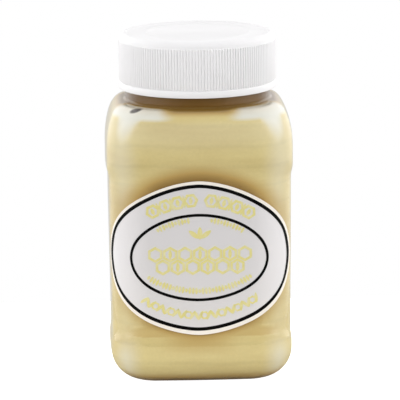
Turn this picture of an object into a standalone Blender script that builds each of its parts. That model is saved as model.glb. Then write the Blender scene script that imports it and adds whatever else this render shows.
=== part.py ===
"""Jar of creamed honey: a square clear jar, its honey, a ribbed screw cap and an oval label.

The origin is the middle of the jar's foot, +Z is up and the labelled face looks along -Y.
Lengths in this script are millimetres until a point is turned into metres by `metres`.
"""
import math

import bmesh
import bpy
from mathutils import Vector

# Jar body, outside
FOOT_HALF = 38.8          # half width across the flats at the foot bulge
PANEL_LOW_HALF = 38.3     # the label panel is set in, a little more at its lower end
PANEL_TOP_HALF = 38.8
BULGE_HALF = 39.7         # widest, between the label panel and the shoulder
CORNER_RADIUS = 19.0
SIDE_BOW_RADIUS = 386.0   # the four faces are very slightly rounded
HEEL_RADIUS = 12.5
SHOULDER_START = 99.0
SHOULDER_TOP = 117.0
SHOULDER_FULLNESS = 2.1   # exponent of the shoulder curve's rise, 2 is an ellipse
SHOULDER_SQUARENESS = 12  # the higher, the closer to the neck the plan stays square
SHOULDER_CORNER = 0.2     # how far the corners' radius grows towards the neck's
NECK_RADIUS = 30.8
NECK_TOP = 143.5
NECK_FILLET = 0.8

# Heights of the label panel's edges, at the middle of a side face and of the labelled face
LEDGE_LOW = (15.0, 17.8)
LEDGE_TOP = (18.6, 21.6)
PANEL_TOP = (85.6, 88.4)
PANEL_BLEND = (88.2, 92.2)
BULGE_START = (91.4, 97.4)

# Walls and fit
WALL = 1.0                # clear plastic
NECK_WALL = 1.6
FOOT_PUSH_UP = 1.2        # the middle of the foot stands clear of the table
FOOT_RING = 5.0           # width of the ring it stands on
FOOT_SLOPE = 4.0          # from that ring in to the level middle
GAP = 0.3                 # between pieces that touch on the real jar
HONEY_TOP = 129.0         # honey stands in the neck, behind the cap's skirt

# Cap
CAP_RADIUS = 33.25        # to the tops of the ribs
CAP_BOTTOM = 121.6
CAP_TOP = 145.1
CAP_EDGE_RADIUS = 1.9
CAP_TOP_DIP = 0.35        # the middle of the top is set down inside its rounded edge
CAP_DIP_RADIUS = 29.6
CAP_DIP_SLOPE = 0.6
CAP_BAND_STEP = 0.3       # height of the step from the ribs to the plain band
CAP_WALL = 1.3
CAP_INSIDE_RADIUS = 31.6
RIB_COUNT = 168
RIB_DEPTH = 0.35
RIB_LOW = 124.8
RIB_HIGH = 143.0
RIB_SHARE = 0.3           # part of the pitch that each flank of a rib takes

# Label: an oval sticker that follows the panel round its corners
LABEL_CENTRE = 55.3       # height of its middle
LABEL_SHIFT = -1.3        # sits a little to one side of the face's middle
LABEL_HALF_LENGTH = 44.9  # along the surface
LABEL_HALF_HEIGHT = 32.9
LABEL_POINTEDNESS = 1.78  # exponent of the oval, 2 is an ellipse
LABEL_THICKNESS = 0.25
LABEL_END_ANGLE = math.radians(89.0)

# Facets
FLAT_STEPS = 5            # columns over each flat face
CORNER_STEPS = 9          # columns round each corner
HEEL_STEPS = 4
SHOULDER_STEPS = 8
LABEL_COLUMNS = 32
LABEL_ROWS = 4

SHARP_ANGLE = math.radians(35.0)
MM = 0.001                # metres in a millimetre

# Finishes: colour, roughness and how far the light passes through
CLEAR_PLASTIC = ((0.86, 0.88, 0.84), 0.08, 1.0)
HONEY_CREAM = ((0.66, 0.56, 0.33), 0.45, 0.0)
CAP_WHITE = ((0.85, 0.85, 0.86), 0.4, 0.0)
LABEL_SILVER = ((0.72, 0.72, 0.70), 0.35, 0.0)


def metres(x, y, z):
    """Turn millimetres into a point in metres."""
    return Vector((x, y, z)) * MM


def plan_arcs(half, corner):
    """Give the corner arc's centre and the lengths of the face arc and of the corner arc.

    The face is an arc of SIDE_BOW_RADIUS through (0, half) and the corner an arc about (k, k)
    that is tangent to two such faces.
    """
    bow = SIDE_BOW_RADIUS
    k = (half - bow + math.sqrt(2.0 * (bow - corner) ** 2 - (bow - half) ** 2)) / 2.0
    turn = math.atan2(k, k - half + bow)
    return k, turn, bow * turn, corner * (math.pi / 2.0 - 2.0 * turn)


def face_point(distance, half, corner):
    """Point and outward normal at a distance along the surface from a face's middle.

    The face looks along +Y here; the distance may run round the corners next to it.
    """
    k, turn, flat, _ = plan_arcs(half, corner)
    side = math.copysign(1.0, distance)
    reach = abs(distance)
    if reach <= flat:
        angle = reach / SIDE_BOW_RADIUS
        x = SIDE_BOW_RADIUS * math.sin(angle)
        y = half - SIDE_BOW_RADIUS * (1.0 - math.cos(angle))
    else:
        angle = turn + (reach - flat) / corner
        x = k + corner * math.sin(angle)
        y = k + corner * math.cos(angle)
    return Vector((side * x, y)), Vector((side * math.sin(angle), math.cos(angle)))


def plan_columns():
    """Places of the columns round the jar: (face, share of the face, share of the corner)."""
    columns = []
    for face in range(4):
        for step in range(FLAT_STEPS):
            columns.append((face, -1.0 + 2.0 * step / FLAT_STEPS, 0.0))
        for step in range(CORNER_STEPS):
            columns.append((face, 1.0, step / CORNER_STEPS))
    return columns


COLUMNS = plan_columns()


def blend(pair, frontness):
    """Read a height that differs between the side faces and the front and back faces."""
    return pair[0] + (pair[1] - pair[0]) * frontness


def ring(heights, half, corner, roundness=0.0):
    """One ring of points round the jar.

    heights is the pair (side face, labelled face); roundness 1 makes the ring a circle.
    """
    _, _, flat, bend = plan_arcs(half, corner)
    points = []
    for face, share, corner_share in COLUMNS:
        place, normal = face_point(flat * share + bend * corner_share, half, corner)
        circle = place.normalized() * half
        place = place.lerp(circle, roundness)
        # The columns run clockwise from above, so the faces in turn look along -Y, -X, +Y and +X
        turn = math.pi - face * math.pi / 2.0
        x = place.x * math.cos(turn) - place.y * math.sin(turn)
        y = place.x * math.sin(turn) + place.y * math.cos(turn)
        frontness = abs(normal.x * math.sin(turn) + normal.y * math.cos(turn))
        points.append(metres(x, y, blend(heights, frontness)))
    return points


def level(height):
    """A height that is the same all round."""
    return (height, height)


def body_stations(inset):
    """Stations of the body from heel to shoulder, offset inwards by inset.

    Each is (heights, half width, corner radius, roundness).
    """
    stations = []
    radius = HEEL_RADIUS - inset
    for step in range(HEEL_STEPS + 1):
        angle = math.pi / 2.0 * step / HEEL_STEPS
        drawn_in = HEEL_RADIUS - radius * math.sin(angle)
        height = HEEL_RADIUS - radius * math.cos(angle)
        stations.append((level(height), FOOT_HALF - drawn_in, CORNER_RADIUS - drawn_in, 0.0))
    corner = CORNER_RADIUS - inset
    middle = (PANEL_TOP_HALF + BULGE_HALF) / 2.0
    stations.append((LEDGE_LOW, FOOT_HALF - inset, corner, 0.0))
    stations.append((LEDGE_TOP, PANEL_LOW_HALF - inset, corner, 0.0))
    stations.append((PANEL_TOP, PANEL_TOP_HALF - inset, corner, 0.0))
    stations.append((PANEL_BLEND, middle - inset, corner, 0.0))
    stations.append((BULGE_START, BULGE_HALF - inset, corner, 0.0))
    return stations


def shoulder_stations(inset):
    """Stations of the shoulder, from the bulge up to where the neck begins."""
    stations = []
    power = 2.0 / SHOULDER_FULLNESS
    width = BULGE_HALF - NECK_RADIUS - NECK_FILLET
    rise = SHOULDER_TOP - SHOULDER_START
    for step in range(SHOULDER_STEPS + 1):
        angle = math.pi / 2.0 * step / SHOULDER_STEPS
        across, up = math.cos(angle), math.sin(angle)
        half = NECK_RADIUS + NECK_FILLET + width * across - inset * across
        height = SHOULDER_START + rise * up ** power - inset * up
        roundness = (1.0 - across) ** SHOULDER_SQUARENESS
        corner = CORNER_RADIUS - inset + (half - CORNER_RADIUS) * up * up * SHOULDER_CORNER
        stations.append((level(height), half, corner, roundness))
    return stations


def neck_stations(radius, top):
    """Stations of the straight neck, which is round."""
    foot = SHOULDER_TOP + NECK_FILLET
    return [(level(height), radius, CORNER_RADIUS, 1.0) for height in (foot, top)]


def foot_stations(inset):
    """Stations of the foot from the middle of its push-up out to the ring it stands on."""
    corner = CORNER_RADIUS - HEEL_RADIUS
    inner = FOOT_HALF - HEEL_RADIUS - FOOT_RING
    return [
        (level(FOOT_PUSH_UP + inset), inner - FOOT_SLOPE, corner, 0.6),
        (level(FOOT_PUSH_UP * 0.5 + inset), inner - FOOT_SLOPE * 0.4, corner, 0.3),
        (level(inset), inner, corner, 0.0),
    ]


def loft(name, stations, look):
    """Make a closed object by extruding a ring from station to station and capping both ends."""
    mesh = bmesh.new()
    verts = [mesh.verts.new(point) for point in ring(*stations[0])]
    edges = list(mesh.faces.new(verts).edges)
    for station in stations[1:]:
        grown = bmesh.ops.extrude_edge_only(mesh, edges=edges)["geom"]
        fresh = {item for item in grown if isinstance(item, bmesh.types.BMVert)}
        edges = [item for item in grown if isinstance(item, bmesh.types.BMEdge)]
        edges = [edge for edge in edges if fresh.issuperset(edge.verts)]
        verts = [next(e.other_vert(v) for e in v.link_edges if e.other_vert(v) in fresh) for v in verts]
        for vert, point in zip(verts, ring(*station)):
            vert.co = point
    bmesh.ops.contextual_create(mesh, geom=edges)
    bmesh.ops.recalc_face_normals(mesh, faces=mesh.faces[:])
    return finish(name, mesh, look)


def finish(name, mesh, look):
    """Put a bmesh into a new smooth-shaded object with its own material."""
    colour, roughness, transmission = look
    data = bpy.data.meshes.new(name)
    mesh.to_mesh(data)
    mesh.free()
    data.shade_smooth()
    data.set_sharp_from_angle(angle=SHARP_ANGLE)
    material = bpy.data.materials.new(name)
    material.use_nodes = True
    shader = material.node_tree.nodes["Principled BSDF"]
    shader.inputs["Base Color"].default_value = (*colour, 1.0)
    shader.inputs["Roughness"].default_value = roughness
    shader.inputs["Metallic"].default_value = 0.0
    shader.inputs["Transmission Weight"].default_value = transmission
    data.materials.append(material)
    made = bpy.data.objects.new(name, data)
    bpy.context.collection.objects.link(made)
    return made


def make_jar():
    """The clear jar: one wall from the foot up outside, over the rim and down inside."""
    outside = foot_stations(0.0) + body_stations(0.0) + shoulder_stations(0.0)
    outside += neck_stations(NECK_RADIUS, NECK_TOP)
    bore = NECK_RADIUS - NECK_WALL
    inside = neck_stations(bore, NECK_TOP)[::-1]
    inside += shoulder_stations(WALL)[::-1] + body_stations(WALL)[::-1] + foot_stations(WALL)[::-1]
    return loft("jar", outside + inside, CLEAR_PLASTIC)


def make_honey():
    """The honey, which fills the jar up into its neck."""
    inset = WALL + GAP
    stations = foot_stations(inset) + body_stations(inset) + shoulder_stations(inset)
    stations += neck_stations(NECK_RADIUS - NECK_WALL - GAP, HONEY_TOP)
    return loft("honey", stations, HONEY_CREAM)


def circle_loop(mesh, radius, height):
    """A ring of one vertex for each rib, joined by edges."""
    made = bmesh.ops.create_circle(mesh, cap_ends=False, radius=radius * MM, segments=RIB_COUNT)
    bmesh.ops.translate(mesh, verts=made["verts"], vec=metres(0.0, 0.0, height))
    return list({edge for vert in made["verts"] for edge in vert.link_edges})


def cap_profile():
    """Radius and height of the cap's section, from the middle of its top, outside, to inside."""
    root = CAP_RADIUS - RIB_DEPTH
    edge = CAP_EDGE_RADIUS
    profile = [(CAP_DIP_RADIUS, CAP_TOP - CAP_TOP_DIP), (CAP_DIP_RADIUS + CAP_DIP_SLOPE, CAP_TOP)]
    for angle in (0.0, 30.0, 60.0):
        across, up = math.sin(math.radians(angle)), math.cos(math.radians(angle))
        profile.append((root - edge * (1.0 - across), CAP_TOP - edge * (1.0 - up)))
    profile += [(root, RIB_HIGH), (root, RIB_LOW)]
    profile += [(CAP_RADIUS, RIB_LOW - CAP_BAND_STEP), (CAP_RADIUS, CAP_BOTTOM)]
    profile += [(CAP_INSIDE_RADIUS, CAP_BOTTOM), (CAP_INSIDE_RADIUS, CAP_TOP - CAP_WALL)]
    return profile


def make_cap():
    """The screw cap: a turned cup, whose skirt has a rib raised on every face of its band."""
    mesh = bmesh.new()
    loops = [circle_loop(mesh, radius, height) for radius, height in cap_profile()]
    for upper, lower in zip(loops, loops[1:]):
        bmesh.ops.bridge_loops(mesh, edges=upper + lower)
    bmesh.ops.contextual_create(mesh, geom=loops[0])
    bmesh.ops.contextual_create(mesh, geom=loops[-1])
    bmesh.ops.recalc_face_normals(mesh, faces=mesh.faces[:])
    middle = (RIB_LOW + RIB_HIGH) / 2.0 * MM
    root = (CAP_RADIUS - RIB_DEPTH) * MM
    band = []
    for face in mesh.faces:
        centre = face.calc_center_median()
        outside = centre.xy.length > CAP_INSIDE_RADIUS * MM
        if outside and abs(centre.z - middle) < RIB_DEPTH * MM:
            band.append(face)
    flank = 2.0 * math.pi * root / RIB_COUNT * RIB_SHARE
    bmesh.ops.inset_individual(
        mesh, faces=band, thickness=flank, depth=RIB_DEPTH * MM, use_even_offset=True)
    return finish("cap", mesh, CAP_WHITE)


def body_half(height, frontness):
    """Half width of the body outside at a height, read between its stations."""
    levels = []
    for heights, half, _, _ in body_stations(0.0)[HEEL_STEPS:]:
        levels.append((blend(heights, frontness), half))
    for (low, low_half), (high, high_half) in zip(levels, levels[1:]):
        if height <= high:
            share = max(0.0, (height - low) / (high - low))
            return low_half + (high_half - low_half) * share
    return levels[-1][1]


def label_point(distance, height, lift):
    """Point on the labelled face at a distance along it, lifted off the jar's wall."""
    _, normal = face_point(distance, PANEL_TOP_HALF, CORNER_RADIUS)
    half = body_half(height, abs(normal.y)) + lift
    place, _ = face_point(distance, half, CORNER_RADIUS + lift)
    return metres(place.x, -place.y, height)


def label_rise(share):
    """Half height of the oval at a share of its half length."""
    power = LABEL_POINTEDNESS
    return LABEL_HALF_HEIGHT * (1.0 - abs(share) ** power) ** (1.0 / power)


def make_label():
    """The oval sticker: upright columns laid on the panel, thickened outwards.

    The columns stand closer towards the two ends, which wrap round the corners.
    """
    mesh = bmesh.new()
    grid = bmesh.ops.create_grid(mesh, x_segments=LABEL_COLUMNS, y_segments=LABEL_ROWS, size=1.0)
    for vert in grid["verts"]:
        share = math.sin(vert.co.x * LABEL_END_ANGLE)
        height = LABEL_CENTRE + label_rise(share) * vert.co.y
        vert.co = label_point(LABEL_SHIFT + LABEL_HALF_LENGTH * share, height, GAP)
    bmesh.ops.recalc_face_normals(mesh, faces=mesh.faces[:])
    inner = mesh.faces[:]
    if sum(face.normal.y * face.calc_area() for face in inner) > 0.0:
        bmesh.ops.reverse_faces(mesh, faces=inner)
    bmesh.ops.solidify(mesh, geom=inner, thickness=-LABEL_THICKNESS * MM)
    bmesh.ops.recalc_face_normals(mesh, faces=mesh.faces[:])
    return finish("label", mesh, LABEL_SILVER)


def main():
    """Clear the scene and make the four pieces."""
    for existing in list(bpy.data.objects):
        bpy.data.objects.remove(existing, do_unlink=True)
    make_jar()
    make_honey()
    make_cap()
    make_label()


main()
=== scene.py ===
"""A shut jar of creamed honey: the looks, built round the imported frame.

The frame's origin is the middle of the jar's foot, +Z is up and the labelled face looks along -Y.
Sizes are millimetres until a point is placed, and heights are measured from the table.
"""
import logging
import math
from dataclasses import dataclass
from enum import Enum

import bmesh
import bpy
from mathutils import Matrix, Quaternion, Vector


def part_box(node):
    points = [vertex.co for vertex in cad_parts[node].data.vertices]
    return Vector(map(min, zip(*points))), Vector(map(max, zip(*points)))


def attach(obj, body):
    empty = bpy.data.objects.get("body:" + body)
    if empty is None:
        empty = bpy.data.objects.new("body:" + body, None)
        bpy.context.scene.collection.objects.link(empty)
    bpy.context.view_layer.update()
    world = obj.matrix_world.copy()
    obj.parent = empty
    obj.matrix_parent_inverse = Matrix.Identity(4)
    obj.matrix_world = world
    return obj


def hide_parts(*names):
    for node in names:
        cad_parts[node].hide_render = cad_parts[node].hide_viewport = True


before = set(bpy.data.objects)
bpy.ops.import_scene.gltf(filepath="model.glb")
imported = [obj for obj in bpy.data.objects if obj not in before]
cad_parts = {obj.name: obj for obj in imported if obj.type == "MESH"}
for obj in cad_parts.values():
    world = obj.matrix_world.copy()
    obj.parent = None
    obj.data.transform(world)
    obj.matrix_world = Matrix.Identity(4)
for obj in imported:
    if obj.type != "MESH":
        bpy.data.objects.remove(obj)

MM = 0.001     # metres in a millimetre
BODY = "root"  # the frame's only body
SHARP_ANGLE = math.radians(35.0)
WHITE_LIGHT = (1.0, 1.0, 1.0, 1.0)
LOG = logging.getLogger("honey_jar")

Pair = tuple[float, float]
Triple = tuple[float, float, float]
Profile = tuple[Pair, ...]  # pairs of measures
Tree = bpy.types.NodeTree
Socket = bpy.types.NodeSocket
Mesh = bmesh.types.BMesh


class Slot(Enum):
    """The record's material slots."""

    CLEAR_PLASTIC = "clear_plastic"
    HONEY = "honey"
    CAP_PLASTIC = "cap_plastic"
    LABEL_FILM = "label_film"


def linear(code: str) -> tuple[float, float, float, float]:
    """Turn an sRGB hex colour into linear RGBA.

    Args:
        code: six hex digits, such as "DCCF9D".

    Returns:
        The linear red, green, blue and an alpha of 1.
    """
    shares = [int(code[at:at + 2], 16) / 255.0 for at in (0, 2, 4)]
    red, green, blue = (s / 12.92 if s <= 0.04045 else ((s + 0.055) / 1.055) ** 2.4 for s in shares)
    return red, green, blue, 1.0


def ease(share: float) -> float:
    """Smooth a share from 0 to 1 so that it starts and ends level."""
    share = min(1.0, max(0.0, share))
    return share * share * (3.0 - 2.0 * share)


def fade(value: float, span: Pair) -> float:
    """Say how far a value has come from a span's first end to its second, eased, from 0 to 1."""
    start, end = span
    return ease((value - start) / (end - start))


def between(ends: Pair, share: float) -> float:
    """Give the value at a share of the way from one end to the other."""
    start, end = ends
    return start + (end - start) * share


def add_node(tree: Tree, kind: str, settings: dict | None = None,
             links: dict | None = None) -> bpy.types.Node:
    """Add a node with its settings and links.

    Args:
        tree: the node tree it goes into.
        kind: the node's type.
        settings: values by property name, or by the name or number of an input.
        links: sockets by the name or number of the input they feed.

    Returns:
        The new node.
    """
    node = tree.nodes.new(kind)
    for key, value in (settings or {}).items():
        if isinstance(key, str) and key in node.bl_rna.properties:
            setattr(node, key, value)
        else:
            node.inputs[key].default_value = value
    for key, socket in (links or {}).items():
        tree.links.new(socket, node.inputs[key])
    return node


def new_material(name: str) -> tuple[bpy.types.Material, Tree]:
    """Make a material with the real material's plain name and an empty node tree."""
    material = bpy.data.materials.new(name)
    material.use_nodes = True
    material.node_tree.nodes.clear()
    return material, material.node_tree


def link_object(name: str, data: bpy.types.ID) -> bpy.types.Object:
    """Put a new object with its data into the scene."""
    made = bpy.data.objects.new(name, data)
    bpy.context.collection.objects.link(made)
    return made


def settle(name: str, mesh: Mesh, material: bpy.types.Material,
           nodes: tuple[str, ...] = ()) -> bpy.types.Object:
    """Turn a finished bmesh into a smooth piece that rides on the jar's body.

    Args:
        name: the piece's name.
        mesh: its faces, already in their place in metres; it is freed here.
        material: its finish.
        nodes: the CAD nodes that the piece stands for.

    Returns:
        The new object, at the origin, unturned and unscaled.
    """
    data = bpy.data.meshes.new(name)
    mesh.to_mesh(data)
    mesh.free()
    data.shade_smooth()
    data.set_sharp_from_angle(angle=SHARP_ANGLE)
    data.materials.append(material)
    piece = link_object(name, data)
    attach(piece, BODY)
    if nodes:
        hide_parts(*nodes)
    LOG.info("%s: %d faces", name, len(data.polygons))
    return piece


def extrude_ring(mesh: Mesh, edges: list[bmesh.types.BMEdge],
                 ) -> tuple[set[bmesh.types.BMVert], list[bmesh.types.BMEdge]]:
    """Extrude a closed ring of edges once.

    Args:
        mesh: the mesh they belong to.
        edges: the ring.

    Returns:
        The new ring's points, still in the old ring's place, and its edges.
    """
    grown = bmesh.ops.extrude_edge_only(mesh, edges=edges)["geom"]
    fresh = {item for item in grown if isinstance(item, bmesh.types.BMVert)}
    lines = [item for item in grown if isinstance(item, bmesh.types.BMEdge)]
    return fresh, [edge for edge in lines if fresh.issuperset(edge.verts)]


# Finishes


@dataclass(frozen=True)
class BlownPet:
    """Clear PET, stretch-blown: glass-clear and glossy, with a faint slow waviness in its walls."""

    tint: str = "FDFEFB"
    ior: float = 1.575
    roughness: float = 0.03
    wave_mm: float = 14.0
    wave_height_mm: float = 0.05

    def material(self) -> bpy.types.Material:
        """Make the clear wall, which lets the lamps' light through to the honey."""
        material, tree = new_material("blown_pet")
        place = add_node(tree, "ShaderNodeTexCoord")
        waves = add_node(tree, "ShaderNodeTexNoise",
                         {"Scale": 1.0 / (self.wave_mm * MM), "Detail": 1.0, "Roughness": 0.4},
                         {"Vector": place.outputs["Object"]})
        bump = add_node(tree, "ShaderNodeBump", {"Strength": 1.0, "Distance": self.wave_height_mm * MM},
                        {"Height": waves.outputs["Fac"]})
        wall = add_node(tree, "ShaderNodeBsdfPrincipled",
                        {"Base Color": linear(self.tint), "IOR": self.ior, "Roughness": self.roughness,
                         "Transmission Weight": 1.0},
                        {"Normal": bump.outputs["Normal"]})
        passing = add_node(tree, "ShaderNodeBsdfTransparent", {"Color": linear(self.tint)})
        path = add_node(tree, "ShaderNodeLightPath")
        surface = wall.outputs[0]
        for ray in ("Is Diffuse Ray", "Is Shadow Ray"):
            surface = add_node(tree, "ShaderNodeMixShader", None,
                               {0: path.outputs[ray], 1: surface, 2: passing.outputs[0]}).outputs[0]
        add_node(tree, "ShaderNodeOutputMaterial", None, {"Surface": surface})
        return material


@dataclass(frozen=True)
class CreamedHoney:
    """Creamed honey: pale, opaque and fine-grained, cloudy where it set slowly, with painted shade in brown
    and painted light in white.
    """

    cream: str = "DAC88F"
    cloud: str = "CAB379"
    # painted light: white for reflections of the bright room in the wall and for the paler corners
    painted_light: str = "E0DFDC"
    bead: str = "2B1A0C"
    half_shade: str = "BD9C5C"                   # halfway to the full painted shade
    # painted shade: the dark colour that stands in for the shade under the cap, round the label, in the
    # ledge and under the heel
    painted_shade: str = "704E13"
    cloud_mm: float = 26.0
    cloud_stretch: Triple = (0.5, 0.5, 2.6)  # so that the clouds lie flat
    cloud_span: Pair = (0.36, 0.66)          # of the noise
    cloud_depth: Pair = (0.0, 0.7)           # share of the cloud's colour
    line_mm: float = 8.4                     # between two faint settling lines
    line_span: Pair = (0.86, 1.0)            # of the wave
    line_light: Pair = (0.0, -0.045)         # they are a little darker
    grain_mm: float = 1.1
    grain_span: Pair = (0.3, 0.7)
    grain_light: Pair = (0.975, 1.02)
    grain_strength: float = 0.3
    grain_height_mm: float = 0.05
    roughness: float = 0.5
    ior: float = 1.49
    # attributes that carry the painted shade and the painted light
    painted_shade_layer: str = "painted_shade"
    painted_light_layer: str = "painted_light"
    bead_place: Triple = (-26.6, -27.2, 115.7)  # a clear bead left of the neck
    bead_radii: Triple = (2.8, 1.9, 1.5)
    bead_edge: Pair = (1.2, 0.7)             # share of the radii where it fades

    def bead_share(self, tree: Tree, place: Socket) -> Socket:
        """Mark the bead.

        Args:
            tree: the material's tree.
            place: the object coordinates.

        Returns:
            A value that is 1 inside the bead and 0 outside it.
        """
        for operation, sizes in (("SUBTRACT", self.bead_place), ("DIVIDE", self.bead_radii)):
            place = add_node(tree, "ShaderNodeVectorMath",
                             {"operation": operation, 1: tuple(size * MM for size in sizes)},
                             {0: place}).outputs[0]
        reach = add_node(tree, "ShaderNodeVectorMath", {"operation": "LENGTH"}, {0: place})
        outside, inside = self.bead_edge
        return add_node(tree, "ShaderNodeMapRange", {"From Min": outside, "From Max": inside},
                        {"Value": reach.outputs["Value"]}).outputs[0]

    def material(self) -> bpy.types.Material:
        """Make the honey's colour from clouds and fine grain, with painted shade in brown and painted light
        in white.
        """
        material, tree = new_material("creamed_honey")
        place = add_node(tree, "ShaderNodeTexCoord").outputs["Object"]
        flat = add_node(tree, "ShaderNodeMapping", {"Scale": self.cloud_stretch}, {"Vector": place})
        clouds = add_node(tree, "ShaderNodeTexNoise",
                          {"Scale": 1.0 / (self.cloud_mm * MM), "Detail": 4.0, "Roughness": 0.55},
                          {"Vector": flat.outputs["Vector"]})
        grain = add_node(tree, "ShaderNodeTexNoise",
                         {"Scale": 1.0 / (self.grain_mm * MM), "Detail": 2.0}, {"Vector": place})
        lines = add_node(tree, "ShaderNodeTexWave",
                         {"bands_direction": "Z", "Scale": math.pi / 10.0 / (self.line_mm * MM),
                          "Distortion": 1.6, "Detail": 2.0, "Detail Scale": 1.0, "Phase Offset": 2.0},
                         {"Vector": place})
        cloudy, speck, settled = (
            add_node(tree, "ShaderNodeMapRange",
                     {"From Min": span[0], "From Max": span[1], "To Min": ends[0], "To Max": ends[1]},
                     {"Value": pattern.outputs["Fac"]}).outputs[0]
            for pattern, span, ends in ((clouds, self.cloud_span, self.cloud_depth),
                                        (grain, self.grain_span, self.grain_light),
                                        (lines, self.line_span, self.line_light)))
        body = add_node(tree, "ShaderNodeMix",
                        {"data_type": "RGBA", 6: linear(self.cream), 7: linear(self.cloud)}, {0: cloudy})
        light = add_node(tree, "ShaderNodeMath", None, {0: speck, 1: settled})
        colour = add_node(tree, "ShaderNodeVectorMath", {"operation": "SCALE"},
                          {0: body.outputs[2], "Scale": light.outputs[0]}).outputs[0]
        # painted light turns it white; painted shade turns it first to the half shade, then to the full
        # shade
        painted_light, painted_shade = (add_node(tree, "ShaderNodeAttribute", {"attribute_name": name}).outputs["Fac"]
                        for name in (self.painted_light_layer, self.painted_shade_layer))
        half_shaded = add_node(tree, "ShaderNodeMapRange", {"From Max": 0.5}, {"Value": painted_shade}).outputs[0]
        deep = add_node(tree, "ShaderNodeMapRange", {"From Min": 0.5}, {"Value": painted_shade}).outputs[0]
        for share, code in ((painted_light, self.painted_light), (half_shaded, self.half_shade), (deep, self.painted_shade),
                            (self.bead_share(tree, place), self.bead)):
            colour = add_node(tree, "ShaderNodeMix", {"data_type": "RGBA", 7: linear(code)},
                              {0: share, 6: colour}).outputs[2]
        bump = add_node(tree, "ShaderNodeBump",
                        {"Strength": self.grain_strength, "Distance": self.grain_height_mm * MM},
                        {"Height": grain.outputs["Fac"]})
        shader = add_node(tree, "ShaderNodeBsdfPrincipled", {"Roughness": self.roughness, "IOR": self.ior},
                          {"Base Color": colour, "Normal": bump.outputs["Normal"]})
        add_node(tree, "ShaderNodeOutputMaterial", None, {"Surface": shader.outputs[0]})
        return material


@dataclass(frozen=True)
class MouldedPolypropylene:
    """White polypropylene, injection moulded: satin, with a fine etched grain from the mould."""

    white: str = "F2F1F2"
    shade: str = "EEEDEE"
    roughness: Pair = (0.33, 0.46)
    ior: float = 1.49
    gloss: float = 0.3
    grain_mm: float = 0.5
    grain_strength: float = 0.15
    grain_height_mm: float = 0.01
    cloud_mm: float = 18.0

    def material(self) -> bpy.types.Material:
        """Make the satin white plastic."""
        material, tree = new_material("moulded_polypropylene")
        place = add_node(tree, "ShaderNodeTexCoord").outputs["Object"]
        clouds = add_node(tree, "ShaderNodeTexNoise",
                          {"Scale": 1.0 / (self.cloud_mm * MM), "Detail": 2.0}, {"Vector": place})
        grain = add_node(tree, "ShaderNodeTexNoise",
                         {"Scale": 1.0 / (self.grain_mm * MM), "Detail": 3.0}, {"Vector": place})
        colour = add_node(tree, "ShaderNodeMix",
                          {"data_type": "RGBA", 6: linear(self.white), 7: linear(self.shade)},
                          {0: clouds.outputs["Fac"]})
        smooth, rough = self.roughness
        satin = add_node(tree, "ShaderNodeMapRange", {"To Min": smooth, "To Max": rough},
                         {"Value": grain.outputs["Fac"]})
        bump = add_node(tree, "ShaderNodeBump",
                        {"Strength": self.grain_strength, "Distance": self.grain_height_mm * MM},
                        {"Height": grain.outputs["Fac"]})
        shader = add_node(tree, "ShaderNodeBsdfPrincipled",
                          {"IOR": self.ior, "Specular IOR Level": self.gloss},
                          {"Base Color": colour.outputs[2], "Roughness": satin.outputs[0],
                           "Normal": bump.outputs["Normal"]})
        add_node(tree, "ShaderNodeOutputMaterial", None, {"Surface": shader.outputs[0]})
        return material


@dataclass(frozen=True)
class SilveredFilm:
    """White film with a pearly silver print inside its outer oval: satin, cooler than the bare border."""

    silver: str = "EEEBEC"
    border: str = "F6EFE6"
    roughness: Pair = (0.36, 0.50)
    metallic: float = 0.25
    grain_mm: float = 0.35
    grain_strength: float = 0.2
    grain_height_mm: float = 0.01
    oval_layer: str = "oval"
    oval_edge: Pair = (0.995, 1.005)

    def material(self) -> bpy.types.Material:
        """Make the film, silver where the oval attribute is below 1 and bare beyond it."""
        material, tree = new_material("silvered_film")
        place = add_node(tree, "ShaderNodeTexCoord")
        grain = add_node(tree, "ShaderNodeTexNoise",
                         {"Scale": 1.0 / (self.grain_mm * MM), "Detail": 2.0},
                         {"Vector": place.outputs["Object"]})
        oval = add_node(tree, "ShaderNodeAttribute", {"attribute_name": self.oval_layer})
        inside, outside = self.oval_edge
        bare = add_node(tree, "ShaderNodeMapRange", {"From Min": inside, "From Max": outside},
                        {"Value": oval.outputs["Fac"]}).outputs[0]
        colour = add_node(tree, "ShaderNodeMix",
                          {"data_type": "RGBA", 6: linear(self.silver), 7: linear(self.border)}, {0: bare})
        metal = add_node(tree, "ShaderNodeMapRange", {"To Min": self.metallic, "To Max": 0.0},
                         {"Value": bare})
        smooth, rough = self.roughness
        satin = add_node(tree, "ShaderNodeMapRange", {"To Min": smooth, "To Max": rough},
                         {"Value": grain.outputs["Fac"]})
        bump = add_node(tree, "ShaderNodeBump",
                        {"Strength": self.grain_strength, "Distance": self.grain_height_mm * MM},
                        {"Height": grain.outputs["Fac"]})
        shader = add_node(tree, "ShaderNodeBsdfPrincipled", None,
                          {"Base Color": colour.outputs[2], "Metallic": metal.outputs[0],
                           "Roughness": satin.outputs[0], "Normal": bump.outputs["Normal"]})
        add_node(tree, "ShaderNodeOutputMaterial", None, {"Surface": shader.outputs[0]})
        return material


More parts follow.
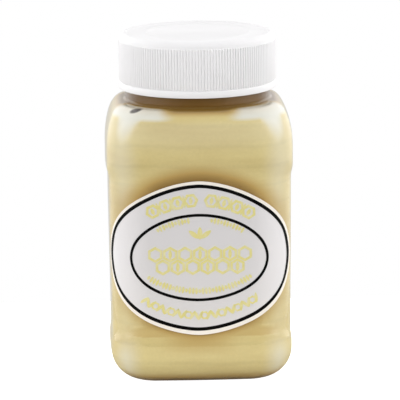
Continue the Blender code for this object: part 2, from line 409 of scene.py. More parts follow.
@dataclass(frozen=True)
class PrintedInk:
    """Screen-printed ink or hot-stamped foil on the film, about a tenth of a millimetre proud."""

    name: str
    colour: str
    worn: str
    metallic: float
    roughness: float
    gloss: float = 0.5  # specular level, 0.5 is a common varnish
    patch_mm: float = 2.5
    patch_span: Pair = (0.45, 0.75)

    def material(self) -> bpy.types.Material:
        """Make the print, which lies a little thinner in patches."""
        material, tree = new_material(self.name)
        place = add_node(tree, "ShaderNodeTexCoord")
        patches = add_node(tree, "ShaderNodeTexNoise",
                           {"Scale": 1.0 / (self.patch_mm * MM), "Detail": 2.0},
                           {"Vector": place.outputs["Object"]})
        whole, thin = self.patch_span
        worn = add_node(tree, "ShaderNodeMapRange", {"From Min": whole, "From Max": thin},
                        {"Value": patches.outputs["Fac"]})
        colour = add_node(tree, "ShaderNodeMix",
                          {"data_type": "RGBA", 6: linear(self.colour), 7: linear(self.worn)},
                          {0: worn.outputs[0]})
        shader = add_node(tree, "ShaderNodeBsdfPrincipled",
                          {"Metallic": self.metallic, "Roughness": self.roughness,
                           "Specular IOR Level": self.gloss},
                          {"Base Color": colour.outputs[2]})
        add_node(tree, "ShaderNodeOutputMaterial", None, {"Surface": shader.outputs[0]})
        return material


BLACK_INK = PrintedInk("black_ink", "060606", "0D0C0C", 0.0, 0.6, gloss=0.1)
GOLD_FOIL = PrintedInk("gold_foil", "F1E79A", "F3EDBE", 0.2, 0.42)


# The jar and its honey


@dataclass(frozen=True)
class Station:
    """One ring of the jar: its heights at a side face and at the labelled face, and its plan."""

    heights: Pair
    half: float
    corner: float
    roundness: float = 0.0


@dataclass(frozen=True)
class Column:
    """One upright line of the jar: a face, the share of its flat and the share of its corner."""

    face: int
    flat_share: float
    corner_share: float


def level(height: float) -> Pair:
    """A height that is the same all round."""
    return height, height


@dataclass(frozen=True)
class SquareForm:
    """The jar's outside: a square with rounded corners, its panels set in a little on all four faces."""

    bulge_half: float                    # widest, between the panels and the shoulder
    neck_top: float
    wall: float = 1.0
    neck_wall: float = 1.6
    foot_half: float = 38.8
    panel_low_half: float = 38.3
    panel_top_half: float = 38.8
    corner: float = 19.0
    bow: float = 386.0                   # radius of the faces, which are not quite flat
    heel: float = 12.5
    ledge_low: Pair = (15.0, 21.2)       # side face, labelled face
    ledge_top: Pair = (18.6, 24.5)
    ledge_softness: float = 0.3
    panel_top: Pair = (85.6, 88.4)
    bulge_start: Pair = (91.4, 97.4)
    shoulder_start: float = 99.0
    shoulder_top: float = 117.0
    shoulder_fullness: float = 2.1       # exponent of its rise, 2 is an ellipse
    shoulder_squareness: float = 12.0    # high: square until close to the neck
    shoulder_corner: float = 0.2         # how far the corners' radius grows
    neck_radius: float = 30.8
    neck_fillet: float = 0.8
    push_up: float = 1.2
    foot_ring: float = 5.0
    foot_slope: float = 4.0
    foot_shares: tuple[Triple, ...] = (  # of the rise, of the slope, and roundness
        (1.0, 1.0, 0.6), (0.85, 0.8, 0.5), (0.5, 0.4, 0.3), (0.12, 0.1, 0.1), (0.0, 0.0, 0.0))
    flat_steps: int = 18
    corner_steps: int = 22
    step_rings: int = 8       # rings over each step of the wall
    panel_pitch: float = 1.6  # the widest gap between two rings

    def plan_arcs(self, half: float, corner: float) -> tuple[float, float, float, float]:
        """Find the arcs of a ring's plan.

        Args:
            half: half width across the flats.
            corner: radius of the corners.

        Returns:
            The corner's centre, its start angle, and the lengths of the face arc and corner arc.
        """
        k = (half - self.bow + math.sqrt(2.0 * (self.bow - corner) ** 2 - (self.bow - half) ** 2)) / 2.0
        turn = math.atan2(k, k - half + self.bow)
        return k, turn, self.bow * turn, corner * (math.pi / 2.0 - 2.0 * turn)

    def face_point(self, distance: float, half: float, corner: float) -> tuple[Vector, Vector]:
        """Find a point on the plan of a face that looks along +Y.

        Args:
            distance: length along the surface from the face's middle, past the corner if long.
            half: half width across the flats.
            corner: radius of the corners.

        Returns:
            The point and its outward normal.
        """
        k, turn, flat, _ = self.plan_arcs(half, corner)
        side = math.copysign(1.0, distance)
        reach = abs(distance)
        if reach <= flat:
            angle = reach / self.bow
            place = Vector((self.bow * math.sin(angle), half - self.bow * (1.0 - math.cos(angle))))
        else:
            angle = turn + (reach - flat) / corner
            place = Vector((k + corner * math.sin(angle), k + corner * math.cos(angle)))
        return Vector((side * place.x, place.y)), Vector((side * math.sin(angle), math.cos(angle)))

    def unwrap(self, x: float) -> float:
        """Find the distance along the labelled face's surface at a sideways place x."""
        k, turn, flat, _ = self.plan_arcs(self.panel_top_half, self.corner)
        reach = abs(x)
        if reach > self.bow * math.sin(turn):
            angle = math.asin(min(1.0, (reach - k) / self.corner))
            distance = flat + self.corner * (angle - turn)
        else:
            distance = self.bow * math.asin(reach / self.bow)
        return math.copysign(distance, x)

    def columns(self) -> list[Column]:
        """Give the upright lines round the jar, clockwise from above."""
        made = []
        for face in range(4):
            for step in range(self.flat_steps):
                made.append(Column(face, -1.0 + 2.0 * step / self.flat_steps, 0.0))
            for step in range(self.corner_steps):
                made.append(Column(face, 1.0, step / self.corner_steps))
        return made

    def ring(self, station: Station) -> list[Vector]:
        """Give one point on each upright line at a station, in metres."""
        _, _, flat, bend = self.plan_arcs(station.half, station.corner)
        points = []
        for column in self.columns():
            distance = flat * column.flat_share + bend * column.corner_share
            place, normal = self.face_point(distance, station.half, station.corner)
            place = place.lerp(place.normalized() * station.half, station.roundness)
            # The faces in turn look along -Y, -X, +Y and +X
            turn = Matrix.Rotation(math.pi - column.face * math.pi / 2.0, 2)
            place, normal = turn @ place, turn @ normal
            height = between(station.heights, abs(normal.y))
            points.append(Vector((place.x, place.y, height)) * MM)
        return points

    def heel_stations(self, inset: float, steps: int = 12) -> list[Station]:
        """Stations round the heel, from the ring it stands on to the upright wall."""
        radius = self.heel - inset
        made = []
        for step in range(steps + 1):
            angle = math.pi / 2.0 * step / steps
            drawn_in = self.heel - radius * math.sin(angle)
            height = self.heel - radius * math.cos(angle)
            made.append(Station(level(height), self.foot_half - drawn_in, self.corner - drawn_in))
        return made

    def panel_keys(self) -> list[tuple[Pair, float]]:
        """Heights and half widths of the panel's edges, from the foot up to the bulge."""
        return [
            (self.ledge_low, self.foot_half),
            (self.ledge_top, self.panel_low_half),
            (self.panel_top, self.panel_top_half),
            (self.bulge_start, self.bulge_half),
            (level(self.shoulder_start), self.bulge_half),
        ]

    def soften(self, share: float, ledge: bool) -> float:
        """Ease a step of the wall: the ledge at the panel's foot has crisper edges than the rest."""
        share = min(1.0, max(0.0, share))
        return share + (ease(share) - share) * (self.ledge_softness if ledge else 1.0)

    def panel_stations(self, inset: float) -> list[Station]:
        """Give the stations of the upright wall, eased so that the panel's edges are soft.

        Args:
            inset: how far inside the jar's outside the surface lies.

        Returns:
            The stations, from the heel up.
        """
        made = []
        keys = self.panel_keys()
        for (low, low_half), (high, high_half) in zip(keys, keys[1:]):
            steps = max(self.step_rings, round((high[1] - low[1]) / self.panel_pitch))
            for step in range(steps):
                share = step / steps
                heights = tuple(a + (b - a) * share for a, b in zip(low, high))
                half = low_half + (high_half - low_half) * self.soften(share, low_half > high_half)
                made.append(Station(heights, half - inset, self.corner - inset))
        return made

    def shoulder_stations(self, inset: float, steps: int = 22) -> list[Station]:
        """Give the stations of the shoulder, which turns from the square plan to the round neck.

        Args:
            inset: how far inside the jar's outside the surface lies.
            steps: number of steps up to the neck.

        Returns:
            The stations, from the wall up.
        """
        width = self.bulge_half - self.neck_radius - self.neck_fillet
        rise = self.shoulder_top - self.shoulder_start
        made = []
        for step in range(steps + 1):
            angle = math.pi / 2.0 * step / steps
            across, up = math.cos(angle), math.sin(angle)
            half = self.neck_radius + self.neck_fillet + (width - inset) * across
            height = self.shoulder_start + rise * up ** (2.0 / self.shoulder_fullness) - inset * up
            corner = self.corner - inset + (half - self.corner) * up * up * self.shoulder_corner
            roundness = (1.0 - across) ** self.shoulder_squareness
            made.append(Station(level(height), half, corner, roundness))
        return made

    def foot_stations(self, inset: float) -> list[Station]:
        """Stations of the foot, from the middle of its push-up out to its ring."""
        inner = self.foot_half - self.heel - self.foot_ring
        return [Station(level(self.push_up * rise + inset), inner - self.foot_slope * slope,
                        self.corner - self.heel, roundness)
                for rise, slope, roundness in self.foot_shares]

    def neck_stations(self, radius: float, top: float) -> list[Station]:
        """Stations of the straight round neck."""
        foot = self.shoulder_top + self.neck_fillet
        return [Station(level(height), radius, self.corner, 1.0) for height in (foot, top)]

    def body_stations(self, inset: float) -> list[Station]:
        """All the stations from the foot's middle to the top of the shoulder."""
        made = self.foot_stations(inset) + self.heel_stations(inset)
        return made + self.panel_stations(inset) + self.shoulder_stations(inset)

    def half_width(self, height: float, frontness: float) -> float:
        """Read the wall's half width at a height.

        Args:
            height: height above the table, between the heel and the shoulder.
            frontness: 1 on the labelled face or the back, 0 on a side face.

        Returns:
            Half the width across the flats there.
        """
        keys = [(low + (high - low) * frontness, half) for (low, high), half in self.panel_keys()]
        for (low, low_half), (high, high_half) in zip(keys, keys[1:]):
            if height <= high:
                share = (height - low) / (high - low)
                return low_half + (high_half - low_half) * self.soften(share, low_half > high_half)
        return keys[-1][1]

    def on_face(self, distance: float, height: float, lift: float) -> Vector:
        """Find a point on the labelled face.

        Args:
            distance: length along the surface from the face's middle, positive to the reader's right.
            height: height above the table.
            lift: how far off the wall.

        Returns:
            The point, in metres.
        """
        _, normal = self.face_point(distance, self.panel_top_half, self.corner)
        half = self.half_width(height, abs(normal.y)) + lift
        place, _ = self.face_point(distance, half, self.corner + lift)
        return Vector((place.x, -place.y, height)) * MM

    def loft(self, stations: list[Station]) -> Mesh:
        """Extrude a ring from station to station and close both ends.

        Args:
            stations: the rings in order, along one continuous surface.

        Returns:
            A closed mesh whose faces point outwards.
        """
        mesh = bmesh.new()
        made = bmesh.ops.create_circle(mesh, cap_ends=True, radius=MM, segments=len(self.columns()))
        verts = made["verts"]
        edges = mesh.edges[:]
        for vert, point in zip(verts, self.ring(stations[0])):
            vert.co = point
        for station in stations[1:]:
            fresh, edges = extrude_ring(mesh, edges)
            verts = [next(e.other_vert(v) for e in v.link_edges if e.other_vert(v) in fresh) for v in verts]
            for vert, point in zip(verts, self.ring(station)):
                vert.co = point
        bmesh.ops.contextual_create(mesh, geom=edges)
        bmesh.ops.recalc_face_normals(mesh, faces=mesh.faces[:])
        return mesh


@dataclass(frozen=True)
class ClearJar:
    """The clear jar: one wall from the foot up outside, over the rim and down inside."""

    form: SquareForm
    finish: BlownPet = BlownPet()

    def build(self) -> bpy.types.Object:
        """Make the hollow jar, open at its neck."""
        form = self.form
        outside = form.body_stations(0.0) + form.neck_stations(form.neck_radius, form.neck_top)
        inside = form.body_stations(form.wall)
        inside += form.neck_stations(form.neck_radius - form.neck_wall, form.neck_top)
        mesh = form.loft(outside + inside[::-1])
        return settle("clear_jar", mesh, self.finish.material(), ("jar",))


# The label and its print


def hollow(mesh: Mesh, verts: list[bmesh.types.BMVert], stroke: float) -> None:
    """Turn a filled shape of a drawing into a line along its edge.

    Args:
        mesh: the drawing.
        verts: the shape's corners.
        stroke: width of the line.
    """
    mesh.normal_update()
    filled = list({face for vert in verts for face in vert.link_faces})
    bmesh.ops.inset_region(mesh, faces=filled, thickness=stroke, use_boundary=True, use_even_offset=True)
    bmesh.ops.delete(mesh, geom=filled, context="FACES")


@dataclass(frozen=True)
class Oval:
    """An oval drawn on the unwrapped label, a little more pointed than an ellipse when below 2."""

    across: float       # place of its middle along the face
    height: float       # height of its middle
    half_length: float
    half_height: float
    exponent: float
    tilt: float = 0.0   # radians, anticlockwise as read
    droop: float = 0.0  # how far its two ends hang below its middle

    def point(self, angle: float, grow: float = 0.0) -> Vector:
        """Give a point of the oval.

        Args:
            angle: radians round from the reader's right, anticlockwise.
            grow: how far the oval is grown all round.

        Returns:
            The point on the unwrapped label.
        """
        power = 2.0 / self.exponent
        x = math.copysign(abs(math.cos(angle)) ** power, math.cos(angle)) * (self.half_length + grow)
        y = math.copysign(abs(math.sin(angle)) ** power, math.sin(angle)) * (self.half_height + grow)
        return self.place(x, y)

    def sag(self, x: float) -> float:
        """Give how far the oval hangs down at a distance from its middle."""
        return self.droop * (x / self.half_length) ** 2

    def place(self, x: float, y: float) -> Vector:
        """Put a point given from the oval's middle onto the unwrapped label."""
        turned = Matrix.Rotation(self.tilt, 2) @ Vector((x, y - self.sag(x)))
        return Vector((self.across + turned.x, self.height + turned.y, 0.0))

    def value(self, across: float, height: float) -> float:
        """Say how far out a place is: 1 on the oval, less inside it and more outside."""
        place = Matrix.Rotation(-self.tilt, 2) @ Vector((across - self.across, height - self.height))
        share = abs(place.x / self.half_length) ** self.exponent
        share += abs((place.y + self.sag(place.x)) / self.half_height) ** self.exponent
        return share ** (1.0 / self.exponent)


@dataclass(frozen=True)
class OvalLabel:
    """The oval sticker, which follows the panel round its corners, with two black ovals printed on it."""

    form: SquareForm
    film: SilveredFilm = SilveredFilm()
    outline: Oval = Oval(-1.3, 55.15, 44.9, 32.75, 1.75, -0.012, 0.6)
    outer_ring: Oval = Oval(-1.45, 55.33, 42.6, 30.5, 1.76, -0.012, 0.6)
    inner_ring: Oval = Oval(-1.3, 55.48, 28.93, 18.07, 1.948, -0.004, 0.4)
    outer_ink: float = 1.45
    end_ink: float = 1.0     # the outer ring is this much wider at its two ends
    end_share: float = 0.86
    inner_ink: float = 1.2
    stand_off: float = 0.03  # the glue
    thickness: float = 0.12
    ink_thickness: float = 0.08
    columns: int = 140
    rows: int = 44
    end_angle: float = math.radians(89.0)
    ring_points: int = 288

    def lay(self, mesh: Mesh, base: float) -> None:
        """Wrap a flat drawing round the jar.

        Args:
            mesh: the drawing in millimetres: x along the face, y up, z off the surface.
            base: height of the drawing's z = 0 above the jar's wall.
        """
        for vert in mesh.verts:
            vert.co = self.form.on_face(vert.co.x, vert.co.y, base + vert.co.z)
        bmesh.ops.recalc_face_normals(mesh, faces=mesh.faces[:])

    def thicken(self, mesh: Mesh, thickness: float) -> None:
        """Give every flat face of a drawing a thickness, with closed sides and a back.

        Args:
            mesh: the drawing.
            thickness: how far its front stands over its back.
        """
        faces = mesh.faces[:]
        for face in faces:
            if face.normal.z < 0.0:
                face.normal_flip()
        grown = bmesh.ops.extrude_face_region(mesh, geom=faces, use_keep_orig=True)["geom"]
        raised = [item for item in grown if isinstance(item, bmesh.types.BMVert)]
        bmesh.ops.translate(mesh, verts=raised, vec=(0.0, 0.0, thickness))
        bmesh.ops.recalc_face_normals(mesh, faces=mesh.faces[:])

    def build_film(self) -> bpy.types.Object:
        """Make the sticker from upright columns that stand closer towards its two ends."""
        mesh = bmesh.new()
        oval_layer = mesh.verts.layers.float.new(self.film.oval_layer)
        bmesh.ops.create_grid(mesh, x_segments=self.columns, y_segments=self.rows, size=1.0)
        for vert in mesh.verts:
            share = math.sin(vert.co.x * self.end_angle)
            power = self.outline.exponent
            rise = self.outline.half_height * (1.0 - abs(share) ** power) ** (1.0 / power)
            vert.co = self.outline.place(self.outline.half_length * share, rise * vert.co.y)
        mesh.normal_update()
        self.thicken(mesh, self.thickness)
        for vert in mesh.verts:
            vert[oval_layer] = self.outer_ring.value(vert.co.x, vert.co.y)
        self.lay(mesh, self.stand_off)
        return settle("label_film", mesh, self.film.material(), ("label",))

    def build_rings(self) -> bpy.types.Object:
        """Print the two black ovals."""
        mesh = bmesh.new()
        for oval, ink in ((self.outer_ring, self.outer_ink), (self.inner_ring, self.inner_ink)):
            made = bmesh.ops.create_circle(mesh, cap_ends=True, radius=1.0, segments=self.ring_points)
            for index, vert in enumerate(made["verts"]):
                vert.co = oval.point(2.0 * math.pi * index / self.ring_points, ink / 2.0)
            hollow(mesh, made["verts"], ink)
        outer = self.outer_ring
        for vert in mesh.verts:
            off = vert.co.x - outer.across
            end = fade(abs(off) / outer.half_length, (self.end_share, 1.0))
            if outer.value(vert.co.x, vert.co.y) < 1.0:
                vert.co.x -= math.copysign(self.end_ink * end, off)
        mesh.normal_update()
        self.thicken(mesh, self.ink_thickness)
        self.lay(mesh, self.stand_off + self.thickness)
        return settle("black_ovals", mesh, BLACK_INK.material())


@dataclass(frozen=True)
class GoldOrnament:
    """Gold foil on the label: honeycomb cells, leaves and fine bars, set out along its ovals.

    A leaf's size is its length and width, and a run goes from one sideways place to another.
    """

    label: OvalLabel
    band_line: Oval = Oval(-1.3, 55.3, 35.7, 24.6, 1.85)  # middle of the band between the rings
    upper_line: Oval = Oval(-1.2, 55.5, 26.0, 16.0, 1.95)  # just inside the inner ring
    lower_line: Oval = Oval(-1.2, 55.5, 26.5, 14.3, 1.95)
    band_runs: Profile = ((-20.5, -4.5), (4.0, 19.5))
    band_pitch: float = 2.75
    band_cell: float = 3.2
    band_seed: Pair = (3.0, 1.6)
    band_bar: Pair = (5.6, 1.1)
    garland_run: Pair = (-24.5, 22.5)
    garland_pitch: float = 1.75
    garland_cell: float = 1.9
    garland_leaf: Pair = (4.4, 1.35)
    garland_lean: float = 0.45
    upper_runs: Profile = ((-18.5, -5.5), (4.0, 17.0))
    upper_pitch: float = 1.3
    upper_bars: Profile = ((2.8, 1.05), (1.8, 1.05))  # long and short
    lower_run: Pair = (-22.5, 20.0)
    lower_pitch: float = 1.4
    lower_bars: Profile = ((3.0, 1.15), (1.9, 1.15))
    comb_middle: Pair = (-0.9, 54.2)
    comb_cell: float = 3.6
    comb_cells: int = 7
    comb_gap: float = 0.15
    comb_seed: Pair = (4.14, 1.5)
    sprig_height: float = 10.4  # over the comb's middle
    sprig_spread: Pair = (3.2, 1.2)
    sprig_leaf: Pair = (5.4, 2.1)
    sprig_lean: float = 0.9
    leaf_points: int = 12
    leaf_power: float = 1.4     # more than 1: its tips are hollow-sided
    stroke: float = 1.05
    fine_stroke: float = 0.7
    foil_thickness: float = 0.1
    line_steps: int = 400       # along the upper half of a line

    def cell(self, mesh: Mesh, middle: Vector, radius: float, stroke: float,
             turn: float = 0.0) -> None:
        """Draw the outline of a six-sided honeycomb cell.

        Args:
            mesh: the drawing.
            middle: place of its middle.
            radius: from the middle to a corner.
            stroke: width of its line.
            turn: radians it is turned by.
        """
        place = Matrix.Translation(middle) @ Matrix.Rotation(turn, 4, "Z")
        made = bmesh.ops.create_circle(mesh, cap_ends=True, radius=radius, segments=6, matrix=place)
        hollow(mesh, made["verts"], stroke)

    def leaf(self, mesh: Mesh, middle: Vector, size: Pair, turn: float) -> None:
        """Draw a filled leaf, pointed at both ends.

        Args:
            mesh: the drawing.
            middle: place of its middle.
            size: from tip to tip and across its middle.
            turn: radians from lying along the face.
        """
        length, width = size
        made = bmesh.ops.create_circle(mesh, cap_ends=True, radius=1.0, segments=self.leaf_points)
        for index, vert in enumerate(made["verts"]):
            angle = 2.0 * math.pi * index / self.leaf_points
            bulge = math.copysign(abs(math.sin(angle)) ** self.leaf_power, math.sin(angle))
            vert.co = Vector((math.cos(angle) * length / 2.0, bulge * width / 2.0, 0.0))
        bmesh.ops.transform(mesh, verts=made["verts"],
                            matrix=Matrix.Translation(middle) @ Matrix.Rotation(turn, 4, "Z"))

    def along(self, line: Oval, angle: float) -> tuple[Vector, float]:
        """Find a place on a line and the direction that the line runs there.

        Args:
            line: the oval that the ornaments follow.
            angle: the oval's angle, from its reader's right, anticlockwise.

        Returns:
            The place, and its upright direction in radians.
        """
        step = 0.01
        run = line.point(angle + step) - line.point(angle - step)
        return line.point(angle), math.atan2(run.y, run.x) + math.pi / 2.0

    def row_angles(self, line: Oval, run: Pair, pitch: float) -> list[float]:
        """Space places evenly along a line.

        Args:
            line: the oval that they follow.
            run: sideways places of the first one and the last one.
            pitch: wanted distance between two.

        Returns:
            The oval's angle at each place, on its upper half.
        """
        start, end = run
        angles = [math.pi * (1.0 - step / self.line_steps) for step in range(self.line_steps + 1)]
        points = [line.point(angle) for angle in angles]
        lengths = [0.0]
        for before, after in zip(points, points[1:]):
            lengths.append(lengths[-1] + (after - before).length)
        inside = [at for at, point in enumerate(points) if start <= point.x <= end]
        first, last = lengths[inside[0]], lengths[inside[-1]]
        count = max(1, round((last - first) / pitch))
        wanted = [first + (last - first) * step / count for step in range(count + 1)]
        return [angles[min(inside, key=lambda at: abs(lengths[at] - goal))] for goal in wanted]

    def draw_upper_band(self, mesh: Mesh) -> None:
        """Draw two runs of large cells with a bar between each pair, over the inner oval."""
        for run in self.band_runs:
            for index, angle in enumerate(self.row_angles(self.band_line, run, self.band_pitch)):
                place, upright = self.along(self.band_line, angle)
                if index % 2 == 0:
                    self.cell(mesh, place, self.band_cell, self.stroke, upright)
                    self.leaf(mesh, place, self.band_seed, upright)
                else:
                    self.leaf(mesh, place, self.band_bar, upright)

    def draw_lower_band(self, mesh: Mesh) -> None:
        """Draw a garland under the inner oval: three leaves, then a small cell, over and over."""
        angles = self.row_angles(self.band_line, self.garland_run, self.garland_pitch)
        for index, angle in enumerate(angles):
            place, upright = self.along(self.band_line, -angle)
            if index % 4 == 3:
                self.cell(mesh, place, self.garland_cell, self.fine_stroke, upright)
            else:
                lean = self.garland_lean if index % 2 else -self.garland_lean
                self.leaf(mesh, place, self.garland_leaf, upright + lean)

    def draw_fine_rows(self, mesh: Mesh) -> None:
        """Draw fine short bars along the top and the foot of the inner oval."""
        for run in self.upper_runs:
            for index, angle in enumerate(self.row_angles(self.upper_line, run, self.upper_pitch)):
                place, upright = self.along(self.upper_line, angle)
                self.leaf(mesh, place, self.upper_bars[0 if index % 3 else 1], upright)
        for index, angle in enumerate(self.row_angles(self.lower_line, self.lower_run, self.lower_pitch)):
            place, upright = self.along(self.lower_line, -angle)
            self.leaf(mesh, place, self.lower_bars[0 if index % 4 else 1], upright)

    def draw_comb(self, mesh: Mesh) -> None:
        """Draw two rows of honeycomb across the middle, and a sprig of three leaves over them."""
        pitch = math.sqrt(3.0) * self.comb_cell
        across, height = self.comb_middle
        for row, count in ((1, self.comb_cells), (-1, self.comb_cells - 1)):
            for index in range(count):
                middle = Vector((across + (index - (count - 1) / 2.0) * pitch,
                                 height + row * 0.75 * self.comb_cell, 0.0))
                self.cell(mesh, middle, self.comb_cell - self.comb_gap, self.stroke)
                if (index + row) % 2 == 0:
                    self.leaf(mesh, middle, self.comb_seed, math.pi / 2.0)
        spread, rise = self.sprig_spread
        for lean in (-self.sprig_lean, 0.0, self.sprig_lean):
            middle = Vector((across - spread * math.sin(lean),
                             height + self.sprig_height + rise * math.cos(lean), 0.0))
            self.leaf(mesh, middle, self.sprig_leaf, math.pi / 2.0 + lean)

    def build(self) -> bpy.types.Object:
        """Stamp all the foil."""
        mesh = bmesh.new()
        self.draw_upper_band(mesh)
        self.draw_lower_band(mesh)
        self.draw_fine_rows(mesh)
        self.draw_comb(mesh)
        mesh.normal_update()
        self.label.thicken(mesh, self.foil_thickness)
        self.label.lay(mesh, self.label.stand_off + self.label.thickness)
        return settle("gold_ornament", mesh, GOLD_FOIL.material())


@dataclass(frozen=True)
class HoneyFill:
    """The honey: it fills the jar up into its neck and reaches just into the wall, so no air shows."""

    form: SquareForm
    label: OvalLabel
    finish: CreamedHoney = CreamedHoney()
    bite: float = 0.15                  # how far it reaches into the wall
    level: float = 129.0                # its top, in the neck behind the cap
    label_shadow: Pair = (0.16, 0.26)           # reach of the shadow painted round the label, below and above
    halo_depth: Pair = (0.55, 0.81)     # also below and above the label's middle
    halo_side: Pair = (16.0, 38.0)      # it is fainter towards the jar's corners
    halo_fade: float = 0.72
    halo_wrap: Pair = (12.0, 30.0)      # and it ends on the side faces
    halo_turn: Pair = (48.0, 66.0)      # heights between which it changes
    # painted shade under the cap, at the neck
    neck_shade: Pair = (113.6, 116.9)
    glare_level: Pair = (112.2, 113.4)  # where the painted reflection on the shoulders starts
    glare_side: Pair = (10.0, 18.0)     # and how far from the middle of the face
    glare_edge: Pair = (32.4, 34.2)     # it stops at the neck
    glare_depth: float = 0.88
    neck_depth: float = 1.0
    # painted shade under the heel, which faces the floor
    heel_shade: Pair = (6.2, 0.9)
    heel_depth: float = 0.95
    groove_shade: Pair = (21.3, 24.9)   # painted shade in the ledge at the panel's foot
    groove_side: Pair = (34.0, 26.0)
    groove_depth: float = 0.26
    lighten_side: Pair = (24.0, 33.0)     # painted light: the honey is paler towards the jar's corners
    lighten_foot: Pair = (19.0, 12.0)     # also below the ledge
    lighten_foot_depth: float = 0.5
    lighten_top: Pair = (98.0, 107.0)     # and a little paler under the shoulder
    lighten_end: Pair = (113.6, 110.5)
    lighten_top_depth: float = 0.13
    lighten_depth: Pair = (0.12, 0.26)    # below and above the label's middle
    glare_drop: float = 15.0                  # how far the painted highlight runs down the corners

    def upper(self, height: float) -> float:
        """Say how far above the label's middle a height is, from 0 to 1."""
        return fade(height, self.halo_turn)

    def painted_shade_at(self, point: Vector) -> float:
        """Say how much shade is painted on the honey: round the label, under the cap at the neck, in the
        ledge and under the heel.

        Args:
            point: a place on the honey, in metres.

        Returns:
            The share of painted shade: its first half reaches the half shade, its second the full shade.
        """
        x, y, height = point / MM
        neck = self.neck_depth * fade(height, self.neck_shade)
        painted_shade = max(neck * (1.0 - self.painted_light_at(point)), self.heel_depth * fade(height, self.heel_shade))
        if y >= 0.0:
            return painted_shade
        out = self.label.outline.value(self.form.unwrap(x), height)
        upper = self.upper(height)
        depth = between(self.halo_depth, upper) * (1.0 - self.halo_fade * fade(abs(x), self.halo_side))
        label_shadow = depth * (1.0 - ease((out - 1.0) / between(self.label_shadow, upper))) * fade(-y, self.halo_wrap)
        low, high = self.groove_shade
        groove = self.groove_depth * fade(abs(x), self.groove_side) if low < height < high else 0.0
        return max(painted_shade, label_shadow, groove)

    def painted_light_at(self, point: Vector) -> float:
        """Say how much light is painted on the honey: a white painted reflection under the shoulders'
        corners that runs down them, and paler painted light towards the corners, at the foot and under the
        shoulder.

        Args:
            point: a place on the honey, in metres.

        Returns:
            The share of painted light.
        """
        x, y, height = point / MM
        corner = min(abs(x), abs(y))
        near = fade(corner, self.lighten_side)
        pale = fade(height, self.lighten_top) * fade(height, self.lighten_end)
        lightening = max(near * between(self.lighten_depth, self.upper(height)),
                    near * self.lighten_foot_depth * fade(height, self.lighten_foot),
                    self.lighten_top_depth * pale)
        low, high = self.glare_level
        painted_light = fade(height, (low - self.glare_drop * near, high)) * fade(corner, self.glare_side)
        return max(lightening, self.glare_depth * (painted_light * fade(math.hypot(x, y), self.glare_edge)))

    def build(self) -> bpy.types.Object:
        """Make the honey and mark where shade and light are painted on it."""
        form = self.form
        stations = form.body_stations(form.wall - self.bite)
        stations += form.neck_stations(form.neck_radius - form.neck_wall + self.bite, self.level)
        mesh = form.loft(stations)
        painted_shade = mesh.verts.layers.float.new(self.finish.painted_shade_layer)
        painted_light = mesh.verts.layers.float.new(self.finish.painted_light_layer)
        for vert in mesh.verts:
            vert[painted_shade] = self.painted_shade_at(vert.co)
            vert[painted_light] = self.painted_light_at(vert.co)
        return settle("honey_fill", mesh, self.finish.material(), ("honey",))


# The cap


